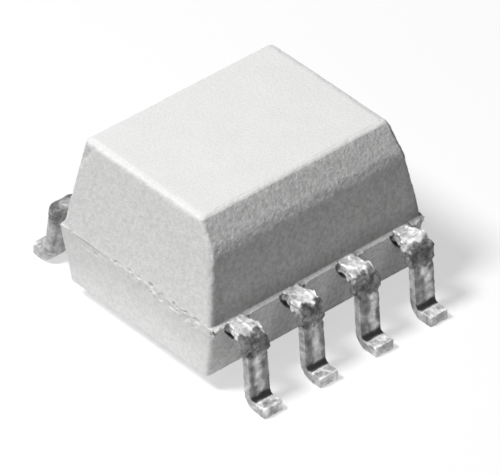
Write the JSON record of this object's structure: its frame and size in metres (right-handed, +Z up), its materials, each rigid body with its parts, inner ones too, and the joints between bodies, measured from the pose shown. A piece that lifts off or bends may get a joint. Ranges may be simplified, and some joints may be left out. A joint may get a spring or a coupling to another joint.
{
  "type": "small-outline optocoupler chip",
  "caption": "White moulded surface-mount chip with a pin-one bevel and tin-plated gull-wing leads, holding facing light emitters and light detectors.",
  "frame": {"origin": "on the seating plane under the feet, midway between the toes of the two rows and midway between the ends of the body", "axes": "+Z up, away from the board; the rows of leads run along Y; pin 1 is at -X +Y, pins 1 to 4 run down the -X row beside the bevel and pins 5 to 8 run up the +X row"},
  "size_m": [0.0062, 0.0048, 0.0034],
  "materials": {
    "white_epoxy": "fine matte moulded grain",
    "tinned_lead": "matte tin plating, slightly crinkled at the bends",
    "gallium_arsenide": "polished crystal",
    "silicon": "polished crystal",
    "silver_epoxy": "cured silver-filled epoxy",
    "gold_wire": "drawn gold",
    "clear_silicone": "clear soft silicone"
  },
  "bodies": {
    "root": {"mould_body": "white_epoxy", "lead_1": "tinned_lead", "lead_2": "tinned_lead", "lead_3": "tinned_lead", "lead_4": "tinned_lead", "lead_5": "tinned_lead", "lead_6": "tinned_lead", "lead_7": "tinned_lead", "lead_8": "tinned_lead", "led_die_1": "gallium_arsenide", "led_die_2": "gallium_arsenide", "detector_die_1": "silicon", "detector_die_2": "silicon", "led_attach_1": "silver_epoxy", "led_attach_2": "silver_epoxy", "detector_attach_1": "silver_epoxy", "detector_attach_2": "silver_epoxy", "led_wire_1": "gold_wire", "led_wire_2": "gold_wire", "detector_wire_1": "gold_wire", "detector_wire_2": "gold_wire", "light_guide_1": "clear_silicone", "light_guide_2": "clear_silicone"}
  },
  "joints": []
}
